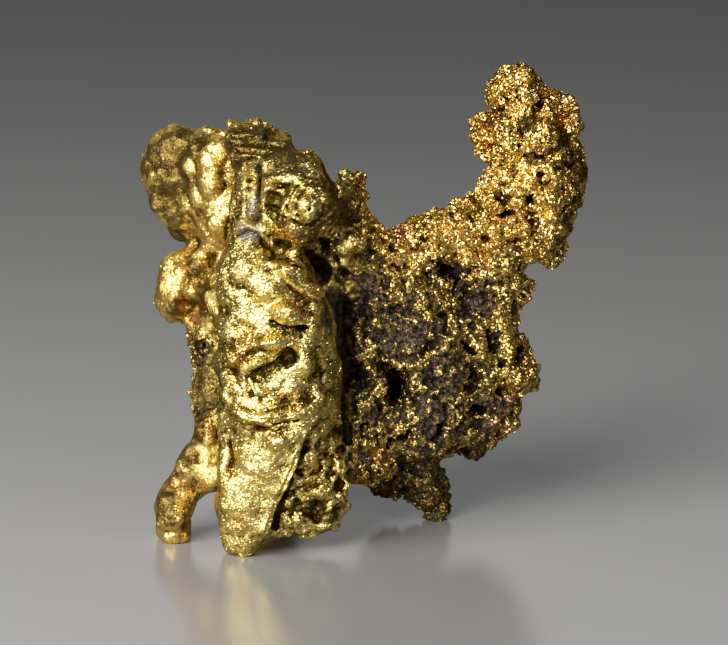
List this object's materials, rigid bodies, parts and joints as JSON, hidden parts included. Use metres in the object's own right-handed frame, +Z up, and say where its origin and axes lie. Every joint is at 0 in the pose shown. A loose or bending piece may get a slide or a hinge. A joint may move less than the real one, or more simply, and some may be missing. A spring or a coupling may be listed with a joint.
{
  "type": "native copper nugget",
  "caption": "Gold-coloured native metal nugget that stands upright: a folded column in front, a knobbly lobe behind it, a spongy body and a rising arm.",
  "frame": {"origin": "centre of the bounding box in X and Y, on the surface that the nugget rests on", "axes": "+Z up along the arm, +X towards the arm's side, +Y away from the folded column"},
  "size_m": [0.0293, 0.0171, 0.0307],
  "materials": {
    "native_copper": "natural crystalline metal, gold-coloured on the high parts and dark in the hollows"
  },
  "bodies": {
    "root": {"nugget": "native_copper"}
  },
  "joints": []
}
